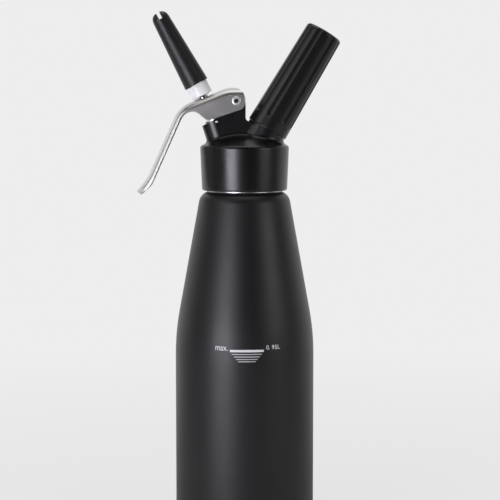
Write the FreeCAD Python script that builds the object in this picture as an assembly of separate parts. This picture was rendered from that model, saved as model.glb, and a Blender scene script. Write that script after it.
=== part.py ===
import FreeCAD, Part
import math
import os

# Whipped cream dispenser, millimetres. Origin: centre of the bottle's foot. +Z up, bottle axis on Z.
# The valve and the lever lean to -X, the charger holder leans to +X.
# Fits and threads
fit_gap = 0.03           # between fixed pieces
running_gap = 0.05       # round a shaft that turns or slides
free_gap = 0.3           # between pieces that only pass each other
thread_sink = 0.4        # how far a thread ridge is rooted in its wall
small_blend = 0.4        # on the edges of small turned pieces
# Bottle
body_radius = 50.0
wall = 2.0
foot_blend = 5.0
punt_radius = 38.0
punt_depth = 4.0
taper_height = 143.1
taper_blend = 180.0
shoulder_radius = 31.9
shoulder_height = 242.9
shoulder_blend = 9.0
neck_radius = 27.0
shoulder_rise = 1.9
neck_band = 3.7
neck_bore = 22.0
neck_height = 21.2
neck_lip = 0.6
neck_thread = 1.3
neck_pitch = 4.0
neck_turns = 3.0
# Head
collar_gap = 1.1
collar_foot_radius = 30.6
collar_foot_blend = 1.5
collar_radius = 31.9
collar_height = 31.7
collar_edge = 2.5
dome_rise = 8.1
dome_flat = 14.0
dome_blend = 50.0
dome_wall = 4.5
gasket_height = 2.5
gasket_width = 5.0
web_step = 0.05
web_reach = 6.0
web_depth = 18.5
web_drop = 2.1
notch_blend = 2.5
side_blend = 4.0
root_blend = 3.0
# Valve, on its own leaning axis, measured up from the boss's top face
valve_angle = -28.6
valve_x = -20.9
valve_rise = 11.3
boss_angle = -17.5
boss_shift = 0.45
boss_radius = 10.2
boss_inside = 24.0
boss_inside_radius = 9.0
chamber_radius = 6.0
bush_length = 12.7
bush_radius = 6.5
bush_flange_radius = 8.2
bush_flange = 1.2
stem_radius = 3.5
stem_bore = 2.1
seal_radius = 7.8
seal_height = 3.0
seal_nose = 1.8
stem_foot = 1.8
stem_foot_radius = 5.8
port_radius = 1.1
port_count = 4
port_depth = 19.0
ring_section = 0.7
ring_depth = 7.0
pin_radius = 1.1
pin_depth = 2.3
pin_bite = 1.2
thrust_radius = 7.0
thrust_height = 3.0
thrust_gap = 0.75
spring_radius = 5.4
spring_wire = 1.0
spring_turns = 4.6
# Lever, its pivot and its post
pivot_x = -5.7
pivot_rise = 24.1
post_radius = 6.5
post_drop = 2.3
brow_rise = 9.4
brow_blend = 22.0
crown_offset = 11.2
crown_angle = 21.8
crown_length = 40.0
arch_angle = 18.0
arch_blend = 26.0
crown_blend = 4.0
ear_depth = 19.0
lever_edge_blend = 0.5
lever_side_gap = 0.4
sheet = 1.6
lever_end = 6.3
lever_end_blend = 8.5
heel_blend = 6.0
plate_low_x = -20.8
plate_low_z = -14.4
plate_slope = 18.4
throat_x = -29.3
throat_z = -7.7
handle_bend = 22.0
handle_angle = 24.2
handle_length = 56.0
handle_depth = 4.7
curl_bend = 40.0
curl_angle = 41.0
curl_length = 11.4
curl_lag = 3.5
tip_depth = 4.6
tip_wall = 2.5
handle_tip_blend = 8.0
slot_half_length = 6.5
slot_half_width = 5.1
slot_shift = 1.1
screw_radius = 2.5
screw_head_radius = 3.3
screw_head = 1.1
screw_head_blend = 0.9
socket_flats = 2.9
socket_depth = 2.0
tail_radius = 1.9
nut_flats = 6.4
nut_height = 2.2
# Nozzle adapter and decorator tip, measured up the valve axis
adapter_nut_flats = 8.4
adapter_nut_height = 0.85
adapter_base = 18.8
adapter_foot_radius = 7.6
adapter_radius = 7.8
adapter_height = 9.25
adapter_bore = 3.4
spigot_core = 5.4
spigot_height = 8.6
stem_grip = 7.0
fine_thread = 0.8
tip_pitch = 2.0
tip_turns = 2.5
tip_base_radius = 8.95
tip_end_radius = 5.95
tip_length = 57.6
tip_end_blend = 5.2
tip_throat_radius = 4.0
tip_mouth_radius = 2.6
tip_slot_width = 2.6
tip_slot_depth = 5.3
tip_seal_height = 1.1
tip_seal_width = 1.0
# Charging side, measured up the charger axis from the holder's mouth
charger_angle = 30.8
charger_x = 16.1
charger_rise = 4.1
charger_boss_radius = 14.2
holder_gap = 0.1
charger_foot = 9.0
charger_radius = 9.0
charger_length = 65.0
charger_neck_radius = 3.75
charger_neck = 8.0
charger_shoulder = 4.0
charger_end_blend = 6.8
charger_wall = 1.6
charger_neck_bore = 2.0
charger_pierced = 1.4
stub_core = 9.6
stub_flange = 1.3
stub_height = 15.0
shank_radius = 7.0
shank_length = 12.3
shank_wall = 2.5
nose_radius = 3.0
nose_height = 4.0
gas_port_radius = 0.6
socket_radius = 4.3
socket_floor = 3.0
needle_radius = 1.1
needle_bore = 0.45
needle_flange_radius = 2.9
needle_flange = 1.6
needle_reach = 2.4
needle_point = 1.6
charger_seal_bore = 1.5
sleeve_wall = 1.2
holder_pitch = 2.5
holder_turns = 4.0
holder_radius = 15.1
holder_top_radius = 13.45
holder_length = 80.2
holder_crown = 1.0
holder_crown_blend = 60.0
holder_end_wall = 5.3
holder_end_blend = 2.6
holder_mouth_blend = 0.8
holder_play = 0.4
insert_wall = 1.4
insert_height = 20.0
insert_recess = 0.8
flute_count = 8
flute_phase = -16.0
flute_radius = 4.2
flute_depth = 1.0
flute_start = 10.7

V = FreeCAD.Vector
UP = V(0, 0, 1)
LINE = 1e-6

neck_core = neck_radius - neck_thread
neck_base = shoulder_height + shoulder_rise
neck_top = neck_base + neck_height
collar_base = neck_base + collar_gap
head_ceiling = neck_top + gasket_height
dome_edge = collar_base + collar_height
dome_top = dome_edge + dome_rise
valve_z = dome_top + valve_rise
pivot_z = dome_top + pivot_rise
charger_z = dome_top + charger_rise
lever_inner = boss_radius + lever_side_gap
lever_outer = lever_inner + sheet
spigot_base = adapter_base + adapter_height
tip_base = spigot_base + running_gap
tip_top = tip_base + tip_length
seal_top = charger_foot - running_gap
insert_radius = stub_core + fine_thread + free_gap + insert_wall


# Building blocks

def rounded_edges(corners):
    """Edges in the XZ plane round corners (x, z, radius), each rounded by an arc, the last side first."""
    joints = []
    for i, (x, z, radius) in enumerate(corners):
        here = V(x, 0, z)
        before = corners[i - 1]
        after = corners[(i + 1) % len(corners)]
        to_before = (V(before[0], 0, before[1]) - here).normalize()
        to_after = (V(after[0], 0, after[1]) - here).normalize()
        if radius == 0:
            joints.append((here, here, here))
            continue
        half = to_before.getAngle(to_after) / 2
        reach = radius / math.tan(half)
        middle = (to_before + to_after).normalize() * (radius / math.sin(half) - radius)
        joints.append((here + to_before * reach, here + middle, here + to_after * reach))
    edges = []
    for i, (start, middle, end) in enumerate(joints):
        last = joints[i - 1][2]
        if last.distanceToPoint(start) > LINE:
            edges.append(Part.LineSegment(last, start).toShape())
        if start.distanceToPoint(end) > LINE:
            edges.append(Part.Arc(start, middle, end).toShape())
    return edges


def rounded_wire(corners):
    """A closed wire in the XZ plane through corners (x, z, radius)."""
    return Part.Wire(rounded_edges(corners))


def open_line(corners):
    """An open line in the XZ plane through corners (x, z, radius)."""
    return Part.Wire(rounded_edges(corners)[1:])


def turned(corners):
    """A solid turned about Z from corners (radius, height, blend)."""
    return Part.Face(rounded_wire(corners)).revolve(V(0, 0, 0), UP, 360)


def plate(corners, half_width):
    """A solid of the XZ outline, as far to each side of the XZ plane."""
    face = Part.Face(rounded_wire(corners))
    face.translate(V(0, -half_width, 0))
    return face.extrude(V(0, 2 * half_width, 0))


def rod(radius, low, high):
    return Part.makeCylinder(radius, high - low, V(0, 0, low))


def tube(inner, outer, low, high):
    return rod(outer, low, high).cut(rod(inner, low - 1, high + 1))


def cross_rod(radius, height, start, end, angle):
    """A rod square to Z, from one radius to another in the direction of the angle."""
    turn = math.radians(angle)
    out = V(math.cos(turn), math.sin(turn), 0)
    return Part.makeCylinder(radius, end - start, out * start + UP * height, out)


def hexagon(flats, low, high):
    """A hexagonal prism about Z."""
    corner = flats / 2 / math.cos(math.pi / 6)
    points = [V(corner * math.cos(k * math.pi / 3), corner * math.sin(k * math.pi / 3), low)
              for k in range(7)]
    return Part.Face(Part.makePolygon(points)).extrude(UP * (high - low))


def ridge(core, depth, pitch, turns, start, inward):
    """A helical thread ridge on a male core, or in the wall round it. start is the male ridge's height."""
    root = core - thread_sink
    crest = core + depth
    if inward:
        root = core + depth + free_gap + thread_sink
        crest = core + free_gap
        start = start + pitch / 2
    root_half = pitch * 0.22
    crest_half = pitch * 0.08
    section = Part.makePolygon([
        V(root, 0, start - root_half),
        V(crest, 0, start - crest_half),
        V(crest, 0, start + crest_half),
        V(root, 0, start + root_half),
        V(root, 0, start - root_half),
    ])
    helix = Part.makeHelix(pitch, pitch * turns, core)
    helix.translate(UP * start)
    return Part.Wire(helix.Edges).makePipeShell([section], True, True)


def placed(shape, x, z, angle):
    """Move a shape from its own upright axis to an axis that leans in the XZ plane."""
    turn = FreeCAD.Rotation(V(0, 1, 0), angle)
    result = shape.copy()
    result.Placement = FreeCAD.Placement(V(x, 0, z), turn).multiply(result.Placement)
    return result


def on_valve(shape):
    return placed(shape, valve_x, valve_z, valve_angle)


def on_charger(shape):
    return placed(shape, charger_x, charger_z, charger_angle)


def on_pivot(shape):
    """Move a shape so that its Z axis is the lever's pivot and points to the front, -Y."""
    result = shape.copy()
    turn = FreeCAD.Rotation(V(1, 0, 0), 90)
    result.Placement = FreeCAD.Placement(V(pivot_x, 0, pivot_z), turn).multiply(result.Placement)
    return result


def axis_point(x, z, angle, across, along):
    """XZ place of a point given across and along a leaning axis."""
    lean = math.radians(angle)
    return (x + across * math.cos(lean) + along * math.sin(lean),
            z - across * math.sin(lean) + along * math.cos(lean))


def valve_point(across, along):
    return axis_point(valve_x, valve_z, valve_angle, across, along)


def boss_point(along):
    """XZ place of a point on the valve boss's own axis, which leans less than the valve."""
    return axis_point(*valve_point(-boss_shift, 0), boss_angle, 0, along)


def charger_point(across, along):
    return axis_point(charger_x, charger_z, charger_angle, across, along)


def shared_edges(shape, first, second):
    """The edges of a shape that lie on the surfaces of both of the solids given."""
    found = []
    for edge in shape.Edges:
        middle = edge.valueAt((edge.FirstParameter + edge.LastParameter) / 2)
        spot = Part.Vertex(middle)
        if all(solid.Shells[0].distToShape(spot)[0] < 0.01 for solid in (first, second)):
            found.append(edge)
    return found


# Bottle and gasket

def neck_thread_start():
    return neck_base + neck_band + neck_pitch / 2


def bottle():
    slope = (neck_base - shoulder_height) / (shoulder_radius - neck_radius)
    inner_shoulder = shoulder_radius - wall
    inner_height = shoulder_height - wall
    outside = turned([
        (0, punt_depth, 0),
        (punt_radius - punt_depth, punt_depth, 2 * punt_depth),
        (punt_radius, 0, 0),
        (body_radius, 0, foot_blend),
        (body_radius, taper_height, taper_blend),
        (shoulder_radius, shoulder_height, shoulder_blend),
        (neck_radius, neck_base, 0),
        (neck_radius, neck_base + neck_band, 0),
        (neck_core, neck_base + neck_band, 0),
        (neck_core, neck_top, neck_lip),
        (0, neck_top, 0),
    ])
    inside = turned([
        (0, punt_depth + wall, 0),
        (body_radius - wall, punt_depth + wall, 2 * foot_blend),
        (body_radius - wall, taper_height, taper_blend),
        (inner_shoulder, inner_height, shoulder_blend - wall),
        (neck_bore, inner_height + slope * (inner_shoulder - neck_bore), neck_lip),
        (neck_bore, neck_top + 1, 0),
        (0, neck_top + 1, 0),
    ])
    screw = ridge(neck_core, neck_thread, neck_pitch, neck_turns, neck_thread_start(), False)
    return outside.cut(inside).fuse(screw)


def head_gasket():
    outer = neck_radius - free_gap
    return tube(outer - gasket_width, outer, neck_top, head_ceiling)


# Head

def web():
    """The block that joins the valve boss, the lever's post and the charger boss."""
    left = pivot_x - post_radius
    right = pivot_x + post_radius
    top = pivot_z - post_drop + post_radius
    shelf = charger_point(web_reach - charger_boss_radius, -web_drop)
    notch = shelf[1] + (shelf[0] - right) * math.tan(math.radians(charger_angle))
    return plate([
        (*boss_point(-web_depth), 0),
        (*charger_point(web_reach - charger_boss_radius, -web_depth), 0),
        (*shelf, 0),
        (right, notch, notch_blend),
        (right, top, post_radius - web_step),
        (left, top, post_radius - web_step),
        (left, valve_z - (left - valve_x) * math.tan(math.radians(valve_angle)), 0),
        (*boss_point(0), 0),
    ], boss_radius - web_step)


def valve_boss():
    """The boss round the valve, with its face square to the valve."""
    boss = placed(rod(boss_radius, -boss_inside, boss_radius), *boss_point(0), boss_angle)
    return boss.cut(on_valve(rod(2 * boss_radius, 0, 2 * boss_radius)))


def head_outside():
    dome = turned([
        (0, collar_base, 0),
        (collar_foot_radius, collar_base, collar_foot_blend),
        (collar_radius, dome_edge, collar_edge),
        (dome_flat, dome_top, dome_blend),
        (0, dome_top, 0),
    ])
    charger_boss = on_charger(rod(charger_boss_radius, -boss_inside, -holder_gap))
    middle = web()
    upper = valve_boss().fuse([charger_boss, middle]).removeSplitter()
    sides = [edge for edge in shared_edges(upper, charger_boss, middle)
             if edge.Curve.TypeId == "Part::GeomLine"]
    upper = upper.makeFillet(side_blend, sides)
    whole = dome.fuse(upper).removeSplitter()
    return whole.makeFillet(root_blend, shared_edges(whole, dome, upper))


def dispenser_head():
    neck_room = neck_radius + free_gap
    cavity = turned([
        (0, collar_base - 1, 0),
        (neck_room, collar_base - 1, 0),
        (neck_room, head_ceiling, 0),
        (neck_radius - gasket_width, head_ceiling, 0),
        (neck_radius - gasket_width, dome_edge - dome_wall, dome_wall),
        (dome_flat, dome_top - dome_wall, 2 * dome_wall),
        (0, dome_top - dome_wall, 0),
    ])
    inner_valve_boss = on_valve(rod(boss_inside_radius, -boss_inside, -web_depth + dome_wall))
    inner_charger_boss = on_charger(rod(shank_radius + shank_wall, -shank_length, -dome_wall))
    screw = ridge(neck_core, neck_thread, neck_pitch, neck_turns, neck_thread_start(), True)
    solid = head_outside().cut(cavity)
    solid = solid.fuse([inner_valve_boss, inner_charger_boss, screw])
    bores = [
        on_valve(rod(chamber_radius, -boss_inside - 1, 1)),
        on_valve(rod(bush_radius, -bush_length, 1)),
        on_valve(cross_rod(pin_radius + fit_gap, -pin_depth, 0, boss_radius + 1, -90)),
        on_charger(rod(shank_radius + fit_gap, -shank_length - 1, 1)),
        on_pivot(rod(screw_radius + fit_gap, -lever_outer, lever_outer)),
    ]
    return solid.cut(bores)


# Dispensing valve

def ring_centre():
    """Radius of the O-ring's centre line."""
    return stem_radius + 2 * running_gap + ring_section


def valve_bush():
    body = tube(stem_radius + running_gap, bush_radius - fit_gap, -bush_length, 0)
    flange = tube(stem_radius + running_gap, bush_flange_radius, 0, bush_flange)
    half = ring_section + fit_gap
    groove = rod(ring_centre() + half, -ring_depth - half, -ring_depth + half)
    bite = bush_radius - pin_bite - fit_gap
    hole = cross_rod(pin_radius + fit_gap, -pin_depth, bite, bush_radius + 1, -90)
    return on_valve(body.fuse(flange).cut([groove, hole]))


def stem_o_ring():
    return on_valve(Part.makeTorus(ring_centre(), ring_section, V(0, 0, -ring_depth)))


def bush_pin():
    pin_end = lever_inner - free_gap
    pin = cross_rod(pin_radius, -pin_depth, bush_radius - pin_bite, pin_end, -90)
    outer_end = min(pin.Edges, key=lambda edge: edge.CenterOfMass.y)
    return on_valve(pin.makeFillet(pin_radius / 2, [outer_end]))


def seal_seat():
    """Height of the seal's top face, just under the inner end of the boss."""
    return -boss_inside - free_gap


def valve_stem():
    foot = seal_seat() - seal_height
    top = adapter_base + stem_grip
    stem = turned([
        (0, foot - stem_foot, 0),
        (stem_foot_radius, foot - stem_foot, stem_foot / 3),
        (stem_foot_radius, foot, 0),
        (stem_radius, foot, 0),
        (stem_radius, top, small_blend),
        (0, top, 0),
    ])
    bore = rod(stem_bore, -port_depth - 2 * port_radius, top + 1)
    ports = [cross_rod(port_radius, -port_depth, 0, stem_radius + 1, k * 360 / port_count)
             for k in range(port_count)]
    return on_valve(stem.cut([bore] + ports))


def valve_seal():
    seat = seal_seat()
    inner = stem_radius + fit_gap
    nose = chamber_radius - free_gap
    return on_valve(turned([
        (inner, seat - seal_height, 0),
        (seal_radius, seat - seal_height, small_blend),
        (seal_radius, seat, small_blend),
        (nose, seat, 0),
        (nose - seal_nose / 2, seat + seal_nose, 0),
        (inner, seat + seal_nose, 0),
    ]))


def thrust_top():
    """Height of the thrust collar's top, whose inner edge lies just under the ridge of the lever's crown."""
    lean = math.radians(crown_angle)
    normal = V(-math.sin(lean), 0, math.cos(lean))
    x, z = valve_point(thrust_radius, 0)
    edge = V(x - pivot_x, 0, z - pivot_z)
    lean = math.radians(valve_angle)
    axis = V(math.sin(lean), 0, math.cos(lean))
    return (crown_offset - sheet - thrust_gap - edge.dot(normal)) / axis.dot(normal)


def thrust_collar():
    top = thrust_top()
    inner = stem_radius + fit_gap
    return on_valve(turned([
        (inner, top - thrust_height, 0),
        (thrust_radius, top - thrust_height, small_blend),
        (thrust_radius, top, small_blend),
        (inner, top, 0),
    ]))


def valve_spring():
    low = bush_flange + spring_wire / 2 + fit_gap
    high = thrust_top() - thrust_height - spring_wire / 2 - fit_gap
    helix = Part.makeHelix((high - low) / spring_turns, high - low, spring_radius)
    section = Part.Wire(Part.makeCircle(spring_wire / 2, V(spring_radius, 0, 0), V(0, 1, 0)))
    coil = Part.Wire(helix.Edges).makePipeShell([section], True, True)
    coil.translate(UP * low)
    return on_valve(coil)


# Lever and its pivot

def lever_path():
    """The corners of the lever's outer line from its pivot end to its tip, and its last two directions."""
    pivot = V(pivot_x, 0, pivot_z)
    lean = math.radians(crown_angle)
    along = V(-math.cos(lean), 0, -math.sin(lean))
    start = pivot + V(-math.sin(lean), 0, math.cos(lean)) * crown_offset
    brow = start + along * ((start.z - pivot_z - brow_rise) / math.sin(lean))
    lean = math.radians(handle_angle)
    down = V(-math.sin(lean), 0, -math.cos(lean))
    lean = math.radians(curl_angle)
    out = V(-math.sin(lean), 0, -math.cos(lean))
    bend = start + along * crown_length
    curl = bend + down * handle_length
    tip = curl + out * curl_length
    end = V(pivot_x + lever_end, 0, brow.z)
    return [end, brow, bend, curl, tip], down, out


def arched_block(line, inset):
    """A block under the line, its arched top and its sides set in by a wall's thickness."""
    lean = math.radians(arch_angle)
    half_width = lever_outer - inset
    ridge_blend = arch_blend - inset
    ridge = ridge_blend / math.cos(lean) - ridge_blend - inset
    eaves = ridge - half_width * math.tan(lean)
    section = rounded_wire([
        (-half_width, -ear_depth, 0),
        (-half_width, eaves, crown_blend - inset),
        (0, ridge, ridge_blend),
        (half_width, eaves, crown_blend - inset),
        (half_width, -ear_depth, 0),
    ])
    section.rotate(V(0, 0, 0), UP, 90)
    section.translate(line.Edges[0].valueAt(line.Edges[0].FirstParameter))
    return line.makePipeShell([section], True, False)


def lever_outline():
    """The side view of the lever: end round, plate edge, throat, inner handle edge and tip."""
    (end, brow, bend, curl, tip), down, out = lever_path()
    low_x = pivot_x + plate_low_x
    low_z = pivot_z + plate_low_z
    heel = low_z + (end.x - low_x) * math.tan(math.radians(plate_slope))
    throat = pivot_z + throat_z
    inner = curl + V(-down.z, 0, down.x) * handle_depth
    knee_x = inner.x + (throat - inner.z) * down.x / down.z
    inner_curl = inner + down * curl_lag
    inner_tip = tip + V(-out.z, 0, out.x) * tip_depth
    return [
        (end.x, end.z, lever_end_blend),
        (brow.x, brow.z, brow_blend),
        (bend.x, bend.z, handle_bend),
        (curl.x, curl.z, curl_bend),
        (tip.x, tip.z, 0),
        (inner_tip.x, inner_tip.z, 0),
        (inner_curl.x, inner_curl.z, curl_bend / 4),
        (knee_x, throat, 2 * handle_depth),
        (pivot_x + throat_x, throat, handle_depth),
        (low_x, low_z, handle_depth),
        (end.x, heel, heel_blend),
    ]


def stem_slot():
    """The long hole in the lever's crown that the stem passes through."""
    reach = slot_half_length - slot_half_width
    slot = Part.makeBox(2 * reach, 2 * slot_half_width, adapter_base, V(-reach, -slot_half_width, 0))
    for x in (-reach, reach):
        end = rod(slot_half_width, 0, adapter_base)
        end.translate(V(x, 0, 0))
        slot = slot.fuse(end)
    slot.translate(V(slot_shift, 0, 0))
    return on_valve(slot)


def lever_line(past_tip):
    """The lever's outer line from beyond its pivot end to a point past its tip, or short of it."""
    (end, brow, bend, curl, tip), down, out = lever_path()
    last = tip + out * past_tip
    return open_line([
        (end.x + lever_end, end.z, 0),
        (brow.x, brow.z, brow_blend),
        (bend.x, bend.z, handle_bend),
        (curl.x, curl.z, curl_bend),
        (last.x, last.z, 0),
    ])


def lever():
    curl = lever_path()[0][3]
    body = plate(lever_outline(), lever_outer)
    ends = [edge for edge in body.Edges
            if edge.CenterOfMass.x < curl.x - curl_length / 3 and edge.BoundBox.YLength < 0.01
            and edge.BoundBox.DiagonalLength < tip_depth + 0.01]
    body = body.makeFillet(handle_tip_blend, ends)
    rims = [edge for edge in body.Edges
            if edge.BoundBox.YLength < 0.01 and abs(abs(edge.CenterOfMass.y) - lever_outer) < 0.01]
    body = body.makeFillet(lever_edge_blend, rims)
    hole = on_pivot(rod(screw_radius + running_gap, -lever_outer - 1, lever_outer + 1))
    outside = arched_block(lever_line(handle_depth), 0)
    inside = arched_block(lever_line(-tip_wall), sheet)
    return body.common(outside).cut([inside, stem_slot(), hole])


def pivot_screw():
    face = lever_outer + free_gap / 2
    tail_end = -face - nut_height - free_gap
    head = rod(screw_head_radius, face, face + screw_head)
    rim = [edge for edge in head.Edges if edge.CenterOfMass.z > face + screw_head - fit_gap]
    head = head.makeFillet(screw_head_blend, rim)
    socket = hexagon(socket_flats, face + screw_head - socket_depth, face + screw_head + 1)
    shank = rod(screw_radius, -face, face)
    tail = rod(tail_radius, tail_end, -face)
    return on_pivot(head.fuse([shank, tail]).cut(socket))


def pivot_nut():
    face = lever_outer + free_gap / 2
    nut = hexagon(nut_flats, -face - nut_height, -face)
    return on_pivot(nut.cut(rod(tail_radius + fit_gap, -face - nut_height - 1, -face + 1)))


# Nozzle adapter and decorator tip

def tip_thread_start():
    return spigot_base + tip_seal_height + tip_pitch / 2


def adapter_nut():
    low = adapter_base - adapter_nut_height
    nut = hexagon(adapter_nut_flats, low, adapter_base)
    return on_valve(nut.cut(rod(stem_radius + fit_gap, low - 1, adapter_base + 1)))


def nozzle_adapter():
    top = spigot_base + spigot_height
    grip = adapter_base + stem_grip
    body = turned([
        (stem_radius + fit_gap, adapter_base, 0),
        (adapter_foot_radius, adapter_base, small_blend),
        (adapter_radius, spigot_base, small_blend),
        (spigot_core, spigot_base, 0),
        (spigot_core, top, small_blend),
        (adapter_bore, top, 0),
        (adapter_bore, grip, 0),
        (stem_radius + fit_gap, grip, 0),
    ])
    screw = ridge(spigot_core, fine_thread, tip_pitch, tip_turns, tip_thread_start(), False)
    return on_valve(body.fuse(screw))


def tip_seal():
    inner = spigot_core + fine_thread + free_gap
    low = spigot_base + fit_gap
    return on_valve(tube(inner, inner + tip_seal_width, low, low + tip_seal_height))


def decorator_tip():
    bore = spigot_core + fine_thread + free_gap
    recess = tip_base + tip_seal_height + free_gap
    spigot_room = spigot_base + spigot_height + 2 * free_gap
    body = turned([
        (0, tip_base, 0),
        (tip_base_radius, tip_base, small_blend),
        (tip_end_radius, tip_top, tip_end_blend),
        (0, tip_top, 0),
    ])
    passage = turned([
        (0, tip_base - 1, 0),
        (bore + tip_seal_width + free_gap, tip_base - 1, 0),
        (bore + tip_seal_width + free_gap, recess, 0),
        (bore, recess, 0),
        (bore, spigot_room, 0),
        (tip_throat_radius, tip_top - tip_slot_depth, small_blend),
        (tip_mouth_radius, tip_top - tip_slot_depth / 3, small_blend),
        (tip_mouth_radius, tip_top + 1, 0),
        (0, tip_top + 1, 0),
    ])
    slot = Part.makeBox(2 * tip_base_radius, tip_slot_width, 2 * tip_slot_depth,
                        V(-tip_base_radius, -tip_slot_width / 2, tip_top - tip_slot_depth))
    cross_slot = slot.copy()
    cross_slot.rotate(V(0, 0, 0), UP, 90)
    screw = ridge(spigot_core, fine_thread, tip_pitch, tip_turns, tip_thread_start(), True)
    return on_valve(body.cut([passage, slot, cross_slot]).fuse(screw))


# Charging valve, charger and holder

def holder_thread_start():
    return insert_recess + small_blend + holder_pitch / 2


def charging_valve():
    nose_end = -shank_length - nose_height
    body = turned([
        (0, nose_end, 0),
        (nose_radius, nose_end, small_blend),
        (nose_radius, -shank_length, 0),
        (shank_radius, -shank_length, small_blend),
        (shank_radius, -holder_gap, 0),
        (stub_core + fine_thread, -holder_gap, 0),
        (stub_core + fine_thread, stub_flange - holder_gap, 0),
        (stub_core, stub_flange - holder_gap, 0),
        (stub_core, stub_height, small_blend),
        (0, stub_height, 0),
    ])
    screw = ridge(stub_core, fine_thread, holder_pitch, holder_turns, holder_thread_start(), False)
    socket = rod(socket_radius, socket_floor, stub_height + 1)
    duct = rod(needle_radius + fit_gap, -shank_length - nose_height / 2, socket_floor + 1)
    port_height = -shank_length - nose_height / 3
    port = cross_rod(gas_port_radius, port_height, -nose_radius - 1, nose_radius + 1, 0)
    return on_charger(body.fuse(screw).cut([socket, duct, port]))


def piercing_needle():
    low = -shank_length + nose_height / 2
    top = charger_foot + needle_reach
    flange_top = socket_floor + needle_flange
    return on_charger(turned([
        (needle_bore, low, 0),
        (needle_radius, low, 0),
        (needle_radius, socket_floor, 0),
        (needle_flange_radius, socket_floor, 0),
        (needle_flange_radius, flange_top, 0),
        (needle_radius, flange_top, 0),
        (needle_radius, top - needle_point, 0),
        (needle_bore, top, 0),
    ]))


def charger_seal():
    low = socket_floor + needle_flange
    return on_charger(tube(charger_seal_bore, socket_radius - fit_gap, low, seal_top))


def check_sleeve():
    low = -shank_length - nose_height
    inner = nose_radius + fit_gap
    return on_charger(tube(inner, inner + sleeve_wall, low, -shank_length - fit_gap))


def gas_charger():
    top = charger_foot + charger_length
    shoulder = charger_foot + charger_neck
    inner = charger_radius - charger_wall
    outside = turned([
        (0, charger_foot, 0),
        (charger_neck_radius, charger_foot, small_blend),
        (charger_neck_radius, shoulder, small_blend),
        (charger_radius, shoulder + charger_shoulder, charger_shoulder),
        (charger_radius, top, charger_end_blend),
        (0, top, 0),
    ])
    inside = turned([
        (0, shoulder + charger_wall, 0),
        (charger_neck_bore, shoulder + charger_wall, 0),
        (inner, shoulder + charger_shoulder + charger_wall, charger_shoulder - charger_wall),
        (inner, top - charger_wall, charger_end_blend - charger_wall),
        (0, top - charger_wall, 0),
    ])
    neck = rod(charger_neck_bore, charger_foot + needle_reach - free_gap, shoulder + 2 * charger_wall)
    pierced = rod(charger_pierced, charger_foot - 1, shoulder)
    return on_charger(outside.cut([inside, neck, pierced]))


def holder_insert():
    bore = stub_core + fine_thread + free_gap
    top = insert_recess + insert_height
    step = stub_height + insert_recess
    body = turned([
        (bore, insert_recess, 0),
        (insert_radius, insert_recess, small_blend),
        (insert_radius, top, small_blend),
        (charger_radius + holder_play, top, 0),
        (charger_radius + holder_play, step, 0),
        (bore, step, 0),
    ])
    screw = ridge(stub_core, fine_thread, holder_pitch, holder_turns, holder_thread_start(), True)
    return on_charger(body.fuse(screw))


def flute(angle):
    """One rounded groove along the holder's wall, closed at its foot and open at the top."""
    lean = math.degrees(math.atan((holder_radius - holder_top_radius) / holder_length))
    groove = rod(flute_radius, flute_start, holder_length + flute_radius)
    groove = groove.fuse(Part.makeSphere(flute_radius, V(0, 0, flute_start)))
    groove.rotate(V(0, 0, 0), V(0, 1, 0), -lean)
    groove.translate(V(holder_radius - flute_depth + flute_radius, 0, 0))
    groove.rotate(V(0, 0, 0), UP, angle)
    return groove


def charger_holder():
    seat = insert_radius + fit_gap
    liner_top = insert_recess + insert_height + fit_gap
    room = charger_radius + holder_play
    crown = holder_length + holder_crown
    body = turned([
        (0, 0, 0),
        (holder_radius, 0, holder_mouth_blend),
        (holder_top_radius, holder_length, holder_end_blend),
        (holder_top_radius / 3, crown, holder_crown_blend),
        (0, crown, 0),
    ])
    hollow = turned([
        (0, -1, 0),
        (seat, -1, 0),
        (seat, liner_top, 0),
        (room, liner_top, 0),
        (room, holder_length - holder_end_wall, charger_end_blend),
        (0, holder_length - holder_end_wall, 0),
    ])
    flutes = [flute(flute_phase - 90 + k * 360 / flute_count) for k in range(flute_count)]
    return on_charger(body.cut([hollow] + flutes))


PARTS = {
    "bottle": bottle,
    "head_gasket": head_gasket,
    "dispenser_head": dispenser_head,
    "valve_bush": valve_bush,
    "stem_o_ring": stem_o_ring,
    "bush_pin": bush_pin,
    "valve_stem": valve_stem,
    "valve_seal": valve_seal,
    "thrust_collar": thrust_collar,
    "valve_spring": valve_spring,
    "lever": lever,
    "pivot_screw": pivot_screw,
    "pivot_nut": pivot_nut,
    "adapter_nut": adapter_nut,
    "nozzle_adapter": nozzle_adapter,
    "tip_seal": tip_seal,
    "decorator_tip": decorator_tip,
    "charging_valve": charging_valve,
    "piercing_needle": piercing_needle,
    "charger_seal": charger_seal,
    "check_sleeve": check_sleeve,
    "gas_charger": gas_charger,
    "holder_insert": holder_insert,
    "charger_holder": charger_holder,
}


def main():
    os.makedirs("parts", exist_ok=True)
    for name, make in PARTS.items():
        make().exportStep("parts/" + name + ".step")


main()
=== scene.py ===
import math

import bpy
from mathutils import Matrix, Vector


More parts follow.
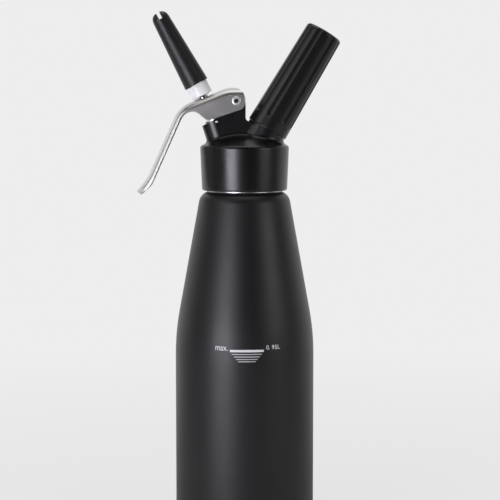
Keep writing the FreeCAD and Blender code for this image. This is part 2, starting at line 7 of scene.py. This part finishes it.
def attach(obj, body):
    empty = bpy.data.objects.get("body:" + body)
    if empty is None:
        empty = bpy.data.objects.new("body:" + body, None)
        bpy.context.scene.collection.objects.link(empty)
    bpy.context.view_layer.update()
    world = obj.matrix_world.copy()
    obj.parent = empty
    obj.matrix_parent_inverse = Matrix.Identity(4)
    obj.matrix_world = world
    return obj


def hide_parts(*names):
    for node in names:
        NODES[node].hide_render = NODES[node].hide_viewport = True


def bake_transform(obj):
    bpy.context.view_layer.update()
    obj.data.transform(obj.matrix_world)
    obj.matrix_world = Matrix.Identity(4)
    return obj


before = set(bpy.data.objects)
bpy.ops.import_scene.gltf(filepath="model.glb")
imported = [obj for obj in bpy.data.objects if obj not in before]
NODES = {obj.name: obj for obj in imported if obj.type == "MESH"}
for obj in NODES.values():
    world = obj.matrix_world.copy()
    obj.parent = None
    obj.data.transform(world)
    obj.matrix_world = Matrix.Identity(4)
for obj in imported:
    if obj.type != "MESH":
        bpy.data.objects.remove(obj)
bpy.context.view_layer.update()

# The camera stands in front of the bottle and looks slightly down at it. Lens and sensor in millimetres.
CAMERA_PLACE = (0.0039, -1.0785, 0.3027)
CAMERA_PITCH = 5.3
CAMERA_LENS = 108.0
CAMERA_SENSOR = 36.0

# Bottle: where its straight wall ends, how the wall draws in above, and where the lacquer starts and stops.
BOTTLE_RADIUS = 0.050
TAPER_START = 0.1266
TAPER_BLEND = 0.180
LACQUER_FOOT = 0.0055
LACQUER_TOP = 0.2453
LACQUER_EDGE = 0.0001
LACQUER_IOR = 1.5

# A face looks inward where the dot product of its normal and its place off the upright axis is below this.
INWARD_FACING = -0.001

# Head: the bare threaded bore of its collar, up to the gasket's seat.
COLLAR_BORE = 0.0288
GASKET_SEAT = 0.2690

# Fill mark: a thick line with four shorter ones below it, each (height, width, thickness), and a word to
# each side, each (name, text, x, height, width, letter height).
MARK_CENTRE = 0.0017
MARK_LINES = (
    (0.1368, 0.0236, 0.00165),
    (0.1345, 0.0210, 0.00062),
    (0.1327, 0.0180, 0.00062),
    (0.1310, 0.0151, 0.00060),
    (0.1294, 0.0123, 0.00058),
)
MARK_WORDS = (
    ("mark_word_max", "max.", -0.0159, 0.1383, 0.0086, 0.0029),
    ("mark_word_litres", "0. 95L", 0.0200, 0.1390, 0.0095, 0.0030),
)
PRINT_PROUD = 0.00004
PRINT_ROOT = 0.00002
LINE_STEPS = 36
LETTER_STEPS = 4

# The axes of valve and charger holder lean in the XZ plane.
VALVE_ORIGIN = (-0.0209, 0.0, 0.2970)
VALVE_LEAN = -28.6
HOLDER_LEAN = 30.8

# Return spring round the valve's stem. Heights are along the valve's axis, from its origin.
SPRING_LOW = 0.00173
SPRING_HIGH = 0.01083
SPRING_RADIUS = 0.0054
SPRING_TURNS = 4.6
SPRING_CLOSED_TURNS = 0.75
SPRING_STEPS = 40
WIRE_RADIUS = 0.0005
WIRE_SIDES = 12

# The pivot screw's axis, the reach of its hexagonal socket, the Y of its face, and the depths below the face
# where the painted shade in the socket begins and is full.
PIVOT_PLACE = (-0.0057, 0.0, 0.3098)
SOCKET_REACH = 0.0017
SCREW_FACE = -0.01345
SOCKET_SHADE_DEPTHS = (0.00005, 0.0005)

# The X where the lever's handle begins, the width over which it changes, and how much rougher it is.
HANDLE_START = -0.042
HANDLE_FADE = 0.008
HANDLE_DULLNESS = 0.07

# Colours, linear.
BOTTLE_BLACK = (0.0042, 0.0042, 0.0048)
HEAD_BLACK = (0.0028, 0.0028, 0.0033)
HOLDER_BLACK = (0.0055, 0.0055, 0.0060)
TIP_BLACK = (0.0060, 0.0060, 0.0066)
SEAL_BLACK = (0.030, 0.030, 0.032)
# Painted shade for the inside of the pivot screw's socket.
SOCKET_SHADE_BLACK = (0.10, 0.10, 0.10)
ADAPTER_WHITE = (0.94, 0.94, 0.935)
INK_WHITE = (0.80, 0.80, 0.81)
THIN_INK_GREY = (0.54, 0.54, 0.55)
LEVER_STEEL = (0.70, 0.69, 0.67)
# Paler steel for the handle: a painted highlight.
HANDLE_HIGHLIGHT_STEEL = (0.80, 0.79, 0.77)
SCREW_STEEL = (0.88, 0.88, 0.87)
VALVE_STEEL = (0.74, 0.73, 0.72)
CHARGER_STEEL = (0.66, 0.66, 0.66)
CHROME = (0.78, 0.78, 0.78)
LINER_ALLOY = (0.74, 0.74, 0.75)
PLATED_BRASS = (0.76, 0.73, 0.66)
BARE_ALLOY_DARK = (0.60, 0.60, 0.61)
BARE_ALLOY_LIGHT = (0.80, 0.80, 0.81)

# Backdrop and floor. Levels are linear: 1 is white. For the camera the floor's own shading counts by
# FLOOR_SHADE up to FLOOR_NEAR from the bottle's axis and not at all from FLOOR_FAR on.
PALE = (0.855, 0.852, 0.858)
PALE_LEVEL = 1.0
FLOOR_RADIUS = 4.0
FLOOR_SIDES = 96
FLOOR_NEAR = 0.12
FLOOR_FAR = 0.8
FLOOR_SHADE = 0.17
FLOOR_ROUGHNESS = 0.85

# Spans of Y. Over the first the floor's colour darkens towards the camera, a painted shade. Over the second,
# behind the object, mirrored rays go over from the lit floor to the backdrop's colour.
FLOOR_PAINTED_SHADE = (0.12, 0.12, 0.12)
FLOOR_PAINTED_SHADE_SPAN = (-1.2, -0.4)
FLOOR_BEHIND_SPAN = (0.1, 0.6)

# The room's brightness by direction, and the spans of the direction's Y and Z over which it changes.
ROOM_FRONT = 0.02
ROOM_SIDE = 0.25
ROOM_BACK = 0.95
ROOM_ABOVE = 0.12
ROOM_FRONT_SPAN = (-0.9, -0.2)
ROOM_BEHIND_SPAN = (0.1, 0.7)
ROOM_ABOVE_SPAN = (0.45, 0.75)

# Softboxes: name, place, the point they look at, width, height, level and colour.
PLAIN = (1.0, 1.0, 1.0)
COOL = (1.0, 0.98, 1.08)
LAMPS = (
    ("left_softbox", (-0.48, -0.72, 0.18), (0.0, 0.0, 0.18), 0.38, 0.35, 9.0, COOL),
    ("left_high_softbox", (-0.80, -0.50, 0.78), (0.0, 0.0, 0.30), 0.45, 0.45, 1.7, PLAIN),
    ("right_softbox", (0.88, -0.64, 0.46), (0.0, 0.0, 0.25), 0.55, 0.60, 2.0, PLAIN),
    ("overhead_softbox", (0.0, 0.15, 1.40), (0.0, 0.15, 0.0), 1.10, 1.50, 1.25, PLAIN),
)


# Node helpers

def add_node(tree, kind, **settings):
    """A new node, with some of its properties set."""
    node = tree.nodes.new(kind)
    for name, value in settings.items():
        setattr(node, name, value)
    return node


def link(tree, start, end):
    tree.links.new(start, end)


def feed(tree, sockets, values):
    """Gives each socket its value: another socket is linked, None leaves it alone, the rest is set."""
    for socket, value in zip(sockets, values):
        if isinstance(value, bpy.types.NodeSocket):
            link(tree, value, socket)
        elif value is not None:
            socket.default_value = value


def math_node(tree, operation, first, second=None):
    """The output of a Math node, its inputs sockets or numbers."""
    node = add_node(tree, "ShaderNodeMath", operation=operation)
    feed(tree, node.inputs, (first, second))
    return node.outputs[0]


def vector_node(tree, operation, first, second=None, output="Vector"):
    """An output of a Vector Math node, its inputs sockets or tuples."""
    node = add_node(tree, "ShaderNodeVectorMath", operation=operation)
    feed(tree, node.inputs, (first, second))
    return node.outputs[output]


def axes_of(tree, place):
    """The outputs X, Y and Z of a place."""
    node = add_node(tree, "ShaderNodeSeparateXYZ")
    link(tree, place, node.inputs[0])
    return node.outputs


def ranged(tree, value, span, result=(0.0, 1.0)):
    """A value mapped from a span to a result, and clamped to it."""
    node = add_node(tree, "ShaderNodeMapRange")
    sockets = [node.inputs[name] for name in ("Value", "From Min", "From Max", "To Min", "To Max")]
    feed(tree, sockets, (value, *span, *result))
    return node.outputs["Result"]


def object_place(tree):
    return add_node(tree, "ShaderNodeTexCoord").outputs["Object"]


def noise(tree, place, scale, detail=3.0, roughness=0.5):
    """Noise from 0 to 1, mostly near 0.5. The scale is in waves per metre."""
    node = add_node(tree, "ShaderNodeTexNoise")
    sockets = [node.inputs[name] for name in ("Vector", "Scale", "Detail", "Roughness")]
    feed(tree, sockets, (place, scale, detail, roughness))
    return node.outputs["Fac"]


def stretched(tree, place, factors, lean=0.0):
    """The place scaled by three factors along axes that lean by an angle in the XZ plane."""
    node = add_node(tree, "ShaderNodeMapping", vector_type="POINT")
    sockets = [node.inputs[name] for name in ("Vector", "Rotation", "Scale")]
    feed(tree, sockets, (place, (0.0, math.radians(lean), 0.0), factors))
    return node.outputs["Vector"]


def bump(tree, height, strength, distance):
    node = add_node(tree, "ShaderNodeBump")
    sockets = [node.inputs[name] for name in ("Height", "Strength", "Distance")]
    feed(tree, sockets, (height, strength, distance))
    return node.outputs["Normal"]


def mixed_color(tree, factor, first, second):
    """A colour between two, each a tuple or a socket, by a factor socket."""
    node = add_node(tree, "ShaderNodeMix", data_type="RGBA")
    link(tree, factor, node.inputs["Factor"])
    colors = [(*value, 1.0) if isinstance(value, tuple) else value for value in (first, second)]
    feed(tree, (node.inputs[6], node.inputs[7]), colors)
    return node.outputs[2]


def mixed_shader(tree, factor, first, second):
    """A shader between two, by a factor socket."""
    node = add_node(tree, "ShaderNodeMixShader")
    feed(tree, node.inputs, (factor, first, second))
    return node.outputs[0]


def glow(tree, kind, color, level):
    """An Emission or Background shader of one colour."""
    node = add_node(tree, kind)
    node.inputs["Color"].default_value = (*color, 1.0)
    node.inputs["Strength"].default_value = level
    return node.outputs[0]


def new_material(name):
    """A node material: itself, its tree and its Principled shader."""
    material = bpy.data.materials.new(name)
    material.use_nodes = True
    return material, material.node_tree, material.node_tree.nodes["Principled BSDF"]


def dress(tree, shader, color, rough, normal):
    """Links colour, roughness and normal to a Principled shader."""
    for name, value in (("Base Color", color), ("Roughness", rough), ("Normal", normal)):
        link(tree, value, shader.inputs[name])


def source_of(shader, name):
    """The socket that an input of a shader is linked to."""
    return shader.inputs[name].links[0].from_socket


# Materials. A rough pair is the lowest and highest roughness. Bump distances and depths are in metres.

# The span that noise mostly lies in, and how far from the plain colour lines, thin ink and bloom are.
NOISE_SPAN = (0.3, 0.7)
LINE_SHADE = 0.90
THIN_INK_SHADE = 0.80
BLOOM_GAIN = 1.6
BLOOM_LIFT = 0.01


def shade_variation(tree, place, color, amount, scale):
    """A colour that varies a little from place to place."""
    clouds = ranged(tree, noise(tree, place, scale, detail=4.0), span=(0.35, 0.65))
    darker = tuple(c * (1.0 - amount) for c in color)
    lighter = tuple(min(1.0, c * (1.0 + amount)) for c in color)
    return mixed_color(tree, clouds, darker, lighter)


def handling_marks(tree, place, rough):
    """Roughness with fine grain, faint smudges and a few hairline scratches."""
    drawn_out = stretched(tree, place, factors=(1.0, 1.0, 0.6))
    hairlines = stretched(tree, place, factors=(1.0, 1.0, 0.04), lean=12.0)
    grain = noise(tree, place, scale=2600.0, detail=2.0)
    smudge = noise(tree, drawn_out, scale=42.0, detail=4.0, roughness=0.6)
    scratch = noise(tree, hairlines, scale=900.0, detail=1.0)
    smudged = ranged(tree, smudge, span=(0.45, 0.75), result=(0.0, -0.05))
    scratched = ranged(tree, scratch, span=(0.72, 0.76), result=(0.0, -0.06))
    base = math_node(tree, "ADD", ranged(tree, grain, NOISE_SPAN, rough), smudged)
    return math_node(tree, "ADD", base, scratched)


def lacquered(name, color, rough, bare_mask):
    """Black lacquer over aluminium that stays bare where the mask says."""
    material, tree, shader = new_material(name)
    place = object_place(tree)
    bare = bare_mask(tree, place)
    covered = math_node(tree, "SUBTRACT", 1.0, bare)
    turned_lines = noise(tree, stretched(tree, place, factors=(0.2, 0.2, 60.0)), scale=60.0, detail=2.0)
    lacquer = shade_variation(tree, place, color, amount=0.10, scale=60.0)
    alloy = mixed_color(tree, turned_lines, BARE_ALLOY_DARK, BARE_ALLOY_LIGHT)
    lacquer_rough = math_node(tree, "MULTIPLY", handling_marks(tree, place, rough), covered)
    turned_rough = ranged(tree, turned_lines, NOISE_SPAN, result=(0.24, 0.38))
    alloy_rough = math_node(tree, "MULTIPLY", turned_rough, bare)
    orange_peel = noise(tree, place, scale=1500.0, roughness=0.6)
    dress(
        tree, shader,
        mixed_color(tree, bare, lacquer, alloy),
        math_node(tree, "ADD", lacquer_rough, alloy_rough),
        bump(tree, orange_peel, strength=0.35, distance=0.00003),
    )
    link(tree, bare, shader.inputs["Metallic"])
    shader.inputs["IOR"].default_value = LACQUER_IOR
    return material


def outward(tree, place):
    """The place's part away from the upright axis."""
    return vector_node(tree, "MULTIPLY", place, (1.0, 1.0, 0.0))


def radius_of(tree, place):
    return vector_node(tree, "LENGTH", outward(tree, place), output="Value")


def inward_face(tree, place):
    """1 where a face looks towards the upright axis, else 0."""
    normal = add_node(tree, "ShaderNodeTexCoord").outputs["Normal"]
    facing = vector_node(tree, "DOT_PRODUCT", outward(tree, place), normal, output="Value")
    return math_node(tree, "LESS_THAN", facing, INWARD_FACING)


def bottle_bare(tree, place):
    """The neck above the shoulder, and the whole inside."""
    height = axes_of(tree, place)["Z"]
    neck = ranged(tree, height, (LACQUER_TOP - LACQUER_EDGE, LACQUER_TOP + LACQUER_EDGE))
    above_foot = math_node(tree, "GREATER_THAN", height, LACQUER_FOOT)
    inside = math_node(tree, "MULTIPLY", inward_face(tree, place), above_foot)
    return math_node(tree, "MAXIMUM", neck, inside)


def head_bare(tree, place):
    """The threaded inside of the collar, up to the gasket's seat."""
    in_bore = math_node(tree, "LESS_THAN", radius_of(tree, place), COLLAR_BORE)
    below_seat = math_node(tree, "LESS_THAN", axes_of(tree, place)["Z"], GASKET_SEAT)
    return math_node(tree, "MULTIPLY", in_bore, below_seat)


def moulded_plastic(name, color, rough, grain_depth):
    """Moulded plastic with a fine grain and a little shine where it is handled."""
    material, tree, shader = new_material(name)
    place = object_place(tree)
    grain = noise(tree, place, scale=3200.0, roughness=0.6)
    dress(
        tree, shader,
        shade_variation(tree, place, color, amount=0.08, scale=90.0),
        handling_marks(tree, place, rough),
        bump(tree, grain, strength=0.4, distance=grain_depth),
    )
    return material


def metal(name, color, rough, line_scale, line_depth, stretch=(1.0, 1.0, 1.0), lean=0.0):
    """Metal with fine lines along one direction, from its rolling, turning or brushing."""
    material, tree, shader = new_material(name)
    place = object_place(tree)
    lines = noise(tree, stretched(tree, place, stretch, lean), line_scale, roughness=0.6)
    clouds = noise(tree, place, scale=70.0)
    darker = tuple(c * LINE_SHADE for c in color)
    line_rough = ranged(tree, lines, NOISE_SPAN, rough)
    cloud_rough = ranged(tree, clouds, span=(0.4, 0.7), result=(0.0, 0.05))
    dress(
        tree, shader,
        mixed_color(tree, ranged(tree, lines, NOISE_SPAN), darker, color),
        math_node(tree, "ADD", line_rough, cloud_rough),
        bump(tree, lines, strength=0.15, distance=line_depth),
    )
    shader.inputs["Metallic"].default_value = 1.0
    return material


def turned_metal(name, color, rough, line_scale, line_depth, rings, lean=0.0):
    """Metal turned round an axis that may lean. rings is how much finer its lines are along the axis."""
    return metal(name, color, rough, line_scale, line_depth, (1.0, 1.0, rings), lean)


def lever_steel(name, color, handle_highlight_color, rough):
    """The lever's satin steel, duller along the handle, where hands rub it, and paler there as a painted
    highlight.
    """
    material = metal(name, color, rough, line_scale=2600.0, line_depth=0.0000004)
    tree = material.node_tree
    shader = tree.nodes["Principled BSDF"]
    place = object_place(tree)
    handle_span = (HANDLE_START - HANDLE_FADE, HANDLE_START)
    on_handle = ranged(tree, axes_of(tree, place)["X"], handle_span, result=(1.0, 0.0))
    dullness = math_node(tree, "MULTIPLY", on_handle, HANDLE_DULLNESS)
    rubbed_rough = math_node(tree, "ADD", source_of(shader, "Roughness"), dullness)
    # Paler steel along the handle, a painted highlight.
    handle_highlight = shade_variation(tree, place, handle_highlight_color, amount=0.04, scale=300.0)
    highlighted_color = mixed_color(tree, on_handle, source_of(shader, "Base Color"), handle_highlight)
    link(tree, rubbed_rough, shader.inputs["Roughness"])
    link(tree, highlighted_color, shader.inputs["Base Color"])
    return material


def socket_painted_shade(tree, place):
    """1 in the pivot screw's socket, where shade is painted, else 0."""
    from_pivot = vector_node(tree, "SUBTRACT", place, PIVOT_PLACE)
    from_axis = vector_node(tree, "MULTIPLY", from_pivot, (1.0, 0.0, 1.0))
    distance = vector_node(tree, "LENGTH", from_axis, output="Value")
    near_axis = math_node(tree, "LESS_THAN", distance, SOCKET_REACH)
    sunk_span = tuple(SCREW_FACE + depth for depth in SOCKET_SHADE_DEPTHS)
    sunk = ranged(tree, axes_of(tree, place)["Y"], sunk_span)
    return math_node(tree, "MULTIPLY", near_axis, sunk)


def screw_steel(name, color, rough):
    """The pivot screw's metal, with painted shade in its socket."""
    material = metal(name, color, rough, line_scale=1800.0, line_depth=0.0000005)
    tree = material.node_tree
    shader = tree.nodes["Principled BSDF"]
    socket_shade = socket_painted_shade(tree, object_place(tree))
    # The socket is coloured dark as painted shade.
    socket_shaded_color = mixed_color(tree, socket_shade, source_of(shader, "Base Color"), SOCKET_SHADE_BLACK)
    link(tree, socket_shaded_color, shader.inputs["Base Color"])
    return material


def rubber(name, color):
    """Soft seal rubber, dull with a faint bloom."""
    material, tree, shader = new_material(name)
    place = object_place(tree)
    bloom = noise(tree, place, scale=240.0, detail=4.0)
    bloomed = tuple(c * BLOOM_GAIN + BLOOM_LIFT for c in color)
    dress(
        tree, shader,
        mixed_color(tree, ranged(tree, bloom, span=(0.5, 0.8)), color, bloomed),
        ranged(tree, bloom, NOISE_SPAN, result=(0.62, 0.78)),
        bump(tree, noise(tree, place, scale=3000.0), strength=0.3, distance=0.00002),
    )
    return material


def printing_ink(name, color):
    """Printing ink, thin enough that pinholes show."""
    material, tree, shader = new_material(name)
    speckle = noise(tree, object_place(tree), scale=5200.0, detail=2.0)
    thin = tuple(c * THIN_INK_SHADE for c in color)
    dress(
        tree, shader,
        mixed_color(tree, ranged(tree, speckle, span=(0.55, 0.75)), color, thin),
        ranged(tree, speckle, NOISE_SPAN, result=(0.45, 0.60)),
        bump(tree, speckle, strength=0.3, distance=0.00001),
    )
    return material


def put_on(material, *names):
    for name in names:
        NODES[name].data.materials.clear()
        NODES[name].data.materials.append(material)


bottle_lacquer = lacquered("bottle_lacquer", BOTTLE_BLACK, rough=(0.40, 0.46), bare_mask=bottle_bare)
head_lacquer = lacquered("head_lacquer", HEAD_BLACK, rough=(0.28, 0.33), bare_mask=head_bare)
holder_plastic = moulded_plastic("holder_plastic", HOLDER_BLACK, rough=(0.30, 0.35), grain_depth=0.00002)
tip_plastic = moulded_plastic("tip_plastic", TIP_BLACK, rough=(0.42, 0.47), grain_depth=0.00001)
white_plastic = moulded_plastic("white_plastic", ADAPTER_WHITE, rough=(0.32, 0.40), grain_depth=0.00001)
lever_metal = lever_steel("lever_metal", LEVER_STEEL, HANDLE_HIGHLIGHT_STEEL, rough=(0.29, 0.33))
screw_metal = screw_steel("screw_metal", SCREW_STEEL, rough=(0.36, 0.42))
chrome = turned_metal(
    "chrome", CHROME, rough=(0.10, 0.16), line_scale=240.0, line_depth=0.000004, rings=12.0)
valve_steel = turned_metal(
    "valve_steel", VALVE_STEEL, rough=(0.14, 0.22), line_scale=240.0, line_depth=0.000004, rings=12.0,
    lean=VALVE_LEAN)
liner = turned_metal(
    "liner", LINER_ALLOY, rough=(0.22, 0.34), line_scale=260.0, line_depth=0.000006, rings=16.0,
    lean=HOLDER_LEAN)
charger_skin = metal(
    "charger_skin", CHARGER_STEEL, rough=(0.26, 0.36), line_scale=200.0, line_depth=0.000006,
    stretch=(6.0, 6.0, 1.0), lean=HOLDER_LEAN)
plated = turned_metal(
    "plated_brass", PLATED_BRASS, rough=(0.16, 0.26), line_scale=260.0, line_depth=0.000005, rings=16.0,
    lean=HOLDER_LEAN)
seal = rubber("seal_rubber", SEAL_BLACK)
ink = printing_ink("fill_mark_ink", INK_WHITE)
thin_ink = printing_ink("fill_mark_thin_ink", THIN_INK_GREY)

put_on(bottle_lacquer, "bottle")
put_on(head_lacquer, "dispenser_head")
put_on(holder_plastic, "charger_holder")
put_on(tip_plastic, "decorator_tip")
put_on(white_plastic, "nozzle_adapter")
put_on(lever_metal, "lever")
put_on(screw_metal, "pivot_screw", "pivot_nut", "bush_pin")
put_on(chrome, "adapter_nut")
put_on(valve_steel, "valve_bush", "valve_stem", "thrust_collar", "valve_spring")
put_on(liner, "holder_insert")
put_on(charger_skin, "gas_charger")
put_on(plated, "charging_valve", "piercing_needle")
put_on(seal, "head_gasket", "stem_o_ring", "valve_seal", "tip_seal", "charger_seal", "check_sleeve")


# Fill mark, printed on the bottle's front as thin closed solids

def bottle_radius(height):
    """The bottle's outer radius at a height on the straight wall or the first of the taper."""
    rise = max(0.0, height - TAPER_START)
    return BOTTLE_RADIUS - TAPER_BLEND + math.sqrt(TAPER_BLEND ** 2 - rise ** 2)


def on_front(x, height, lift):
    """The point in front of the bottle's wall at x and a height, lifted off it."""
    radius = bottle_radius(height) + lift
    return Vector((x, -math.sqrt(radius ** 2 - x ** 2), height))


def new_piece(name, vertices, faces, material):
    mesh = bpy.data.meshes.new(name)
    mesh.from_pydata(vertices, [], faces)
    mesh.update()
    mesh.materials.append(material)
    piece = bpy.data.objects.new(name, mesh)
    bpy.context.scene.collection.objects.link(piece)
    return piece


def printed(name, vertices, faces, material):
    """A piece of print on the bottle."""
    piece = new_piece(name, vertices, faces, material)
    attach(piece, "bottle")


def mark_line(name, height, width, thickness, material):
    """A printed line: a thin strip that follows the wall, with four corners at each step."""
    vertices = []
    for k in range(LINE_STEPS + 1):
        x = MARK_CENTRE + width * (k / LINE_STEPS - 0.5)
        for z in (height - thickness / 2, height + thickness / 2):
            vertices.append(on_front(x, z, PRINT_PROUD))
            vertices.append(on_front(x, z, -PRINT_ROOT))
    faces = [(0, 1, 3, 2)]
    for k in range(LINE_STEPS):
        a = 4 * k
        b = a + 4
        faces += [
            (a, a + 2, b + 2, b),
            (a + 1, b + 1, b + 3, a + 3),
            (a, b, b + 1, a + 1),
            (a + 2, a + 3, b + 3, b + 2),
        ]
    end = 4 * LINE_STEPS
    faces.append((end, end + 2, end + 3, end + 1))
    printed(name, vertices, faces, material)


def letter_mesh(text):
    """Letters as a flat solid, from Z = -0.5 to 0.5."""
    curve = bpy.data.curves.new("letters", "FONT")
    curve.body = text
    curve.align_x = "CENTER"
    curve.align_y = "CENTER"
    curve.resolution_u = LETTER_STEPS
    curve.extrude = 0.5
    source = bpy.data.objects.new("letters", curve)
    bpy.context.scene.collection.objects.link(source)
    bpy.context.view_layer.update()
    mesh = bpy.data.meshes.new_from_object(source)
    bpy.data.objects.remove(source)
    bpy.data.curves.remove(curve)
    return mesh


def shares(values):
    """Each value's place between the lowest and the highest, from -0.5 to 0.5."""
    low = min(values)
    high = max(values)
    return [(value - low) / (high - low) - 0.5 for value in values]


def mark_word(name, text, x, height, width, letter_height, material):
    """A printed word: the letters' solids fitted to their size and laid on the wall."""
    mesh = letter_mesh(text)
    points = [vertex.co.copy() for vertex in mesh.vertices]
    faces = [tuple(polygon.vertices) for polygon in mesh.polygons]
    bpy.data.meshes.remove(mesh)
    across = shares([point.x for point in points])
    up = shares([point.y for point in points])
    vertices = []
    for point, side, rise in zip(points, across, up):
        lift = PRINT_PROUD if point.z > 0 else -PRINT_ROOT
        vertices.append(on_front(x + width * side, height + letter_height * rise, lift))
    printed(name, vertices, faces, material)


for index, (height, width, thickness) in enumerate(MARK_LINES):
    mark_line(f"mark_line_{index + 1}", height, width, thickness, ink if index == 0 else thin_ink)
for word in MARK_WORDS:
    mark_word(*word, ink)


# Return spring, in place of the solid spring

def spring_height(turn):
    """The wire's height after some turns: closed at both ends, an even pitch between them."""
    closed_pitch = WIRE_RADIUS * 2.0
    if turn < SPRING_CLOSED_TURNS:
        return SPRING_LOW + closed_pitch * turn
    if turn > SPRING_TURNS - SPRING_CLOSED_TURNS:
        return SPRING_HIGH - closed_pitch * (SPRING_TURNS - turn)
    free_turns = SPRING_TURNS - 2 * SPRING_CLOSED_TURNS
    free_low = SPRING_LOW + closed_pitch * SPRING_CLOSED_TURNS
    free_high = SPRING_HIGH - closed_pitch * SPRING_CLOSED_TURNS
    return free_low + (free_high - free_low) * (turn - SPRING_CLOSED_TURNS) / free_turns


def spring_line():
    """The points along the middle of the wire, round an upright axis."""
    line = []
    for k in range(int(SPRING_TURNS * SPRING_STEPS) + 1):
        turn = k / SPRING_STEPS
        angle = 2 * math.pi * turn
        x = SPRING_RADIUS * math.cos(angle)
        y = SPRING_RADIUS * math.sin(angle)
        line.append(Vector((x, y, spring_height(turn))))
    return line


def return_spring():
    """The spring as a round wire with closed ends, at its resting length between head and valve."""
    line = spring_line()
    last = len(line) - 1
    to_place = Matrix.Translation(VALVE_ORIGIN) @ Matrix.Rotation(math.radians(VALVE_LEAN), 4, "Y")
    vertices = []
    for k, centre in enumerate(line):
        along = (line[min(k + 1, last)] - line[max(k - 1, 0)]).normalized()
        out = Vector((centre.x, centre.y, 0.0)).normalized()
        side = along.cross(out).normalized()
        for s in range(WIRE_SIDES):
            angle = 2 * math.pi * s / WIRE_SIDES
            point = centre + (out * math.cos(angle) + side * math.sin(angle)) * WIRE_RADIUS
            vertices.append(to_place @ point)
    faces = [tuple(range(WIRE_SIDES - 1, -1, -1))]
    for k in range(last):
        for s in range(WIRE_SIDES):
            a = k * WIRE_SIDES + s
            b = k * WIRE_SIDES + (s + 1) % WIRE_SIDES
            faces.append((a, b, b + WIRE_SIDES, a + WIRE_SIDES))
    faces.append(tuple(last * WIRE_SIDES + s for s in range(WIRE_SIDES)))
    piece = new_piece("return_spring", vertices, faces, valve_steel)
    piece.data.shade_smooth()
    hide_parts("valve_spring")
    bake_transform(piece)


return_spring()


# Camera

camera = bpy.data.objects.new("camera", bpy.data.cameras.new("camera"))
camera.data.lens = CAMERA_LENS
camera.data.sensor_width = CAMERA_SENSOR
camera.location = CAMERA_PLACE
camera.rotation_euler = (math.radians(90.0 - CAMERA_PITCH), 0.0, 0.0)
bpy.context.scene.collection.objects.link(camera)
bpy.context.scene.camera = camera
bpy.context.scene.view_settings.view_transform = "Standard"


# Floor, room and lamps

def sees_backdrop(tree, behind):
    """1 for the camera's rays, and for mirrored and transmitted rays as far as they go behind the object."""
    rays = add_node(tree, "ShaderNodeLightPath").outputs
    bounced = math_node(tree, "MAXIMUM", rays["Is Glossy Ray"], rays["Is Transmission Ray"])
    return math_node(tree, "MAXIMUM", rays["Is Camera Ray"], math_node(tree, "MULTIPLY", bounced, behind))


def floor_material():
    """Pale floor: for the camera it fades into the backdrop's colour away from the object."""
    material, tree, shader = new_material("pale_floor")
    place = object_place(tree)
    depth = axes_of(tree, place)["Y"]
    # The floor's colour darkens towards the camera: painted shade.
    lit = ranged(tree, depth, FLOOR_PAINTED_SHADE_SPAN)
    link(tree, mixed_color(tree, lit, FLOOR_PAINTED_SHADE, PALE), shader.inputs["Base Color"])
    shader.inputs["Roughness"].default_value = FLOOR_ROUGHNESS
    grain = bump(tree, noise(tree, place, scale=500.0), strength=0.1, distance=0.0001)
    link(tree, grain, shader.inputs["Normal"])
    shaded = shader.outputs[0]
    backdrop = glow(tree, "ShaderNodeEmission", PALE, PALE_LEVEL)
    fade = ranged(tree, radius_of(tree, place), (FLOOR_NEAR, FLOOR_FAR), result=(FLOOR_SHADE, 0.0))
    seen = mixed_shader(tree, fade, backdrop, shaded)
    behind = ranged(tree, depth, FLOOR_BEHIND_SPAN)
    surface = mixed_shader(tree, sees_backdrop(tree, behind), shaded, seen)
    link(tree, surface, tree.nodes["Material Output"].inputs["Surface"])
    return material


def floor():
    """A round, flat floor with the dispenser standing at its middle."""
    angles = [2 * math.pi * k / FLOOR_SIDES for k in range(FLOOR_SIDES)]
    ring = [(FLOOR_RADIUS * math.cos(angle), FLOOR_RADIUS * math.sin(angle), 0.0) for angle in angles]
    new_piece("floor", ring, [tuple(range(FLOOR_SIDES))], floor_material())


def room():
    """The world: pale behind the object, darker towards the camera; the camera sees the pale backdrop."""
    world = bpy.data.worlds.new("room")
    bpy.context.scene.world = world
    world.use_nodes = True
    tree = world.node_tree
    tree.nodes.clear()
    axes = axes_of(tree, add_node(tree, "ShaderNodeTexCoord").outputs["Generated"])
    behind = ranged(tree, axes["Y"], ROOM_BEHIND_SPAN)
    below = ranged(tree, axes["Z"], ROOM_ABOVE_SPAN, result=(1.0, 0.0))
    front = ranged(tree, axes["Y"], ROOM_FRONT_SPAN, result=(ROOM_FRONT, ROOM_SIDE))
    around = math_node(tree, "ADD", front, math_node(tree, "MULTIPLY", behind, ROOM_BACK - ROOM_SIDE))
    above = ranged(tree, axes["Z"], ROOM_ABOVE_SPAN, result=(1.0, ROOM_ABOVE))
    light = add_node(tree, "ShaderNodeBackground")
    link(tree, math_node(tree, "MULTIPLY", around, above), light.inputs["Strength"])
    backdrop = glow(tree, "ShaderNodeBackground", PALE, PALE_LEVEL)
    seen = sees_backdrop(tree, math_node(tree, "MULTIPLY", behind, below))
    output = add_node(tree, "ShaderNodeOutputWorld")
    link(tree, mixed_shader(tree, seen, light.outputs[0], backdrop), output.inputs["Surface"])


def softbox(name, place, target, width, height, level, color):
    """A flat lamp that looks at a target. level is its brightness, 1 being white."""
    data = bpy.data.lights.new(name, "AREA")
    data.shape = "RECTANGLE"
    data.size = width
    data.size_y = height
    data.color = color
    data.energy = level * math.pi * width * height
    lamp = bpy.data.objects.new(name, data)
    lamp.location = place
    toward = Vector(target) - Vector(place)
    lamp.rotation_euler = toward.to_track_quat("-Z", "Y").to_euler()
    bpy.context.scene.collection.objects.link(lamp)


floor()
room()
for lamp in LAMPS:
    softbox(*lamp)
